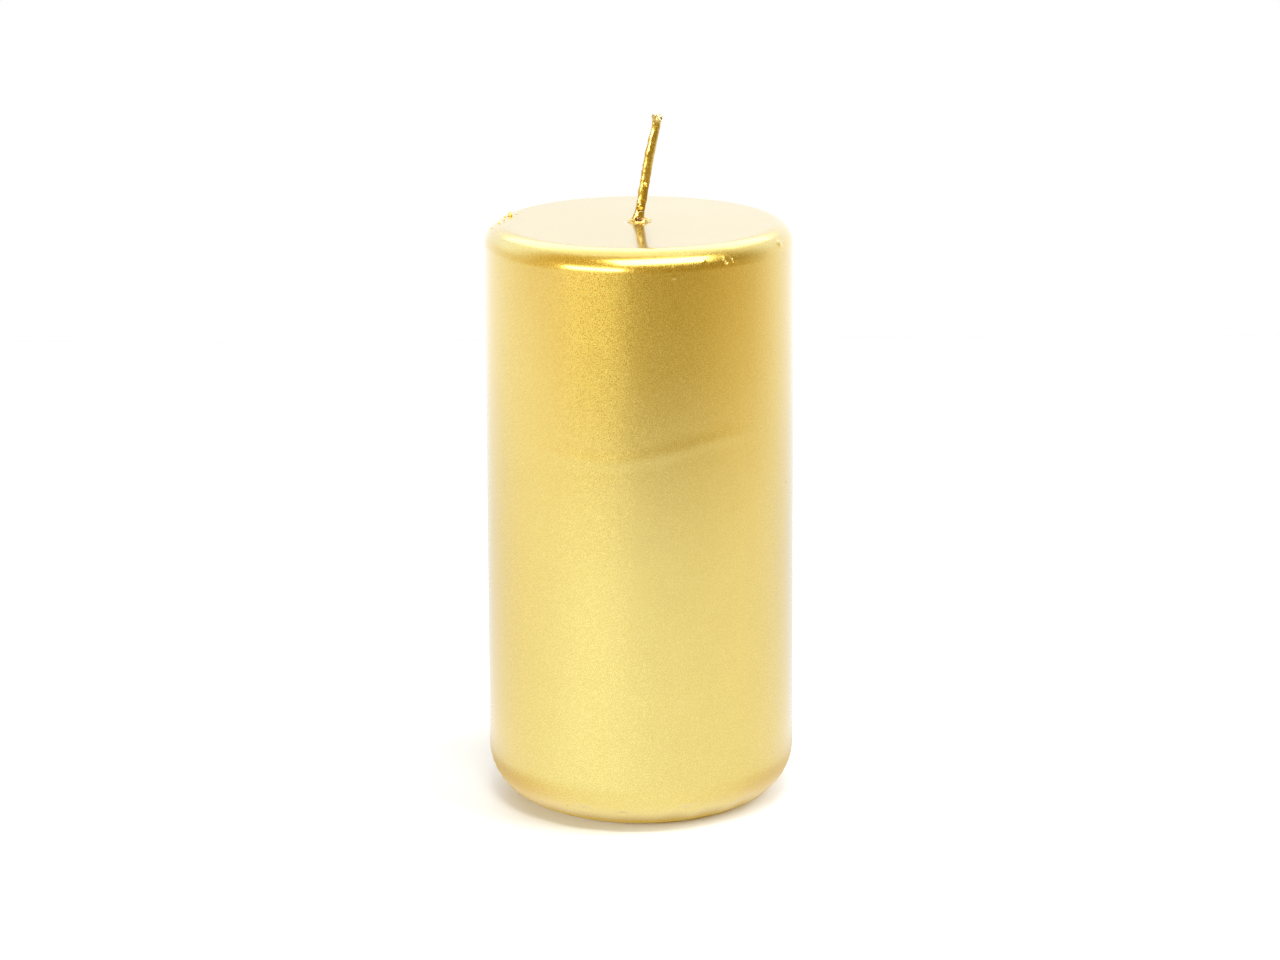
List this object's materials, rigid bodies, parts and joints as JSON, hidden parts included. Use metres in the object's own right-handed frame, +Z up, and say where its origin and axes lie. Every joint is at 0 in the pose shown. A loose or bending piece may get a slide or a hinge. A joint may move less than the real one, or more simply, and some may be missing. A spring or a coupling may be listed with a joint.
{
  "type": "pillar candle",
  "caption": "Round pillar candle with a gold metallic lacquer, a rounded shoulder and foot, and a short plaited wick that leans sideways.",
  "frame": {"origin": "centre of the base, on the surface that the candle stands on", "axes": "+Z up along the candle's axis; the wick lies in the XZ plane and leans towards +X; -Y faces the viewer"},
  "size_m": [0.0682, 0.0682, 0.153],
  "materials": {
    "paraffin": "pressed paraffin, dull and slightly grainy",
    "dyed_wax": "dipped wax, dyed orange yellow, satin",
    "gold_lacquer": "satin gold metallic lacquer with a fine grain",
    "gold_wax": "glossy gold lacquer over wax",
    "wick_lacquer": "glossy, beaded gold lacquer",
    "cotton": "waxed cotton plait",
    "tinplate": "bright tinplate"
  },
  "bodies": {
    "root": {"wax_core": "paraffin", "overdip_jacket": "dyed_wax", "lacquer_coat": "gold_lacquer", "wick_collar": "gold_wax", "wick_sleeve": "wick_lacquer", "wick_strand_1": "cotton", "wick_strand_2": "cotton", "wick_strand_3": "cotton", "wick_sustainer": "tinplate"}
  },
  "joints": []
}
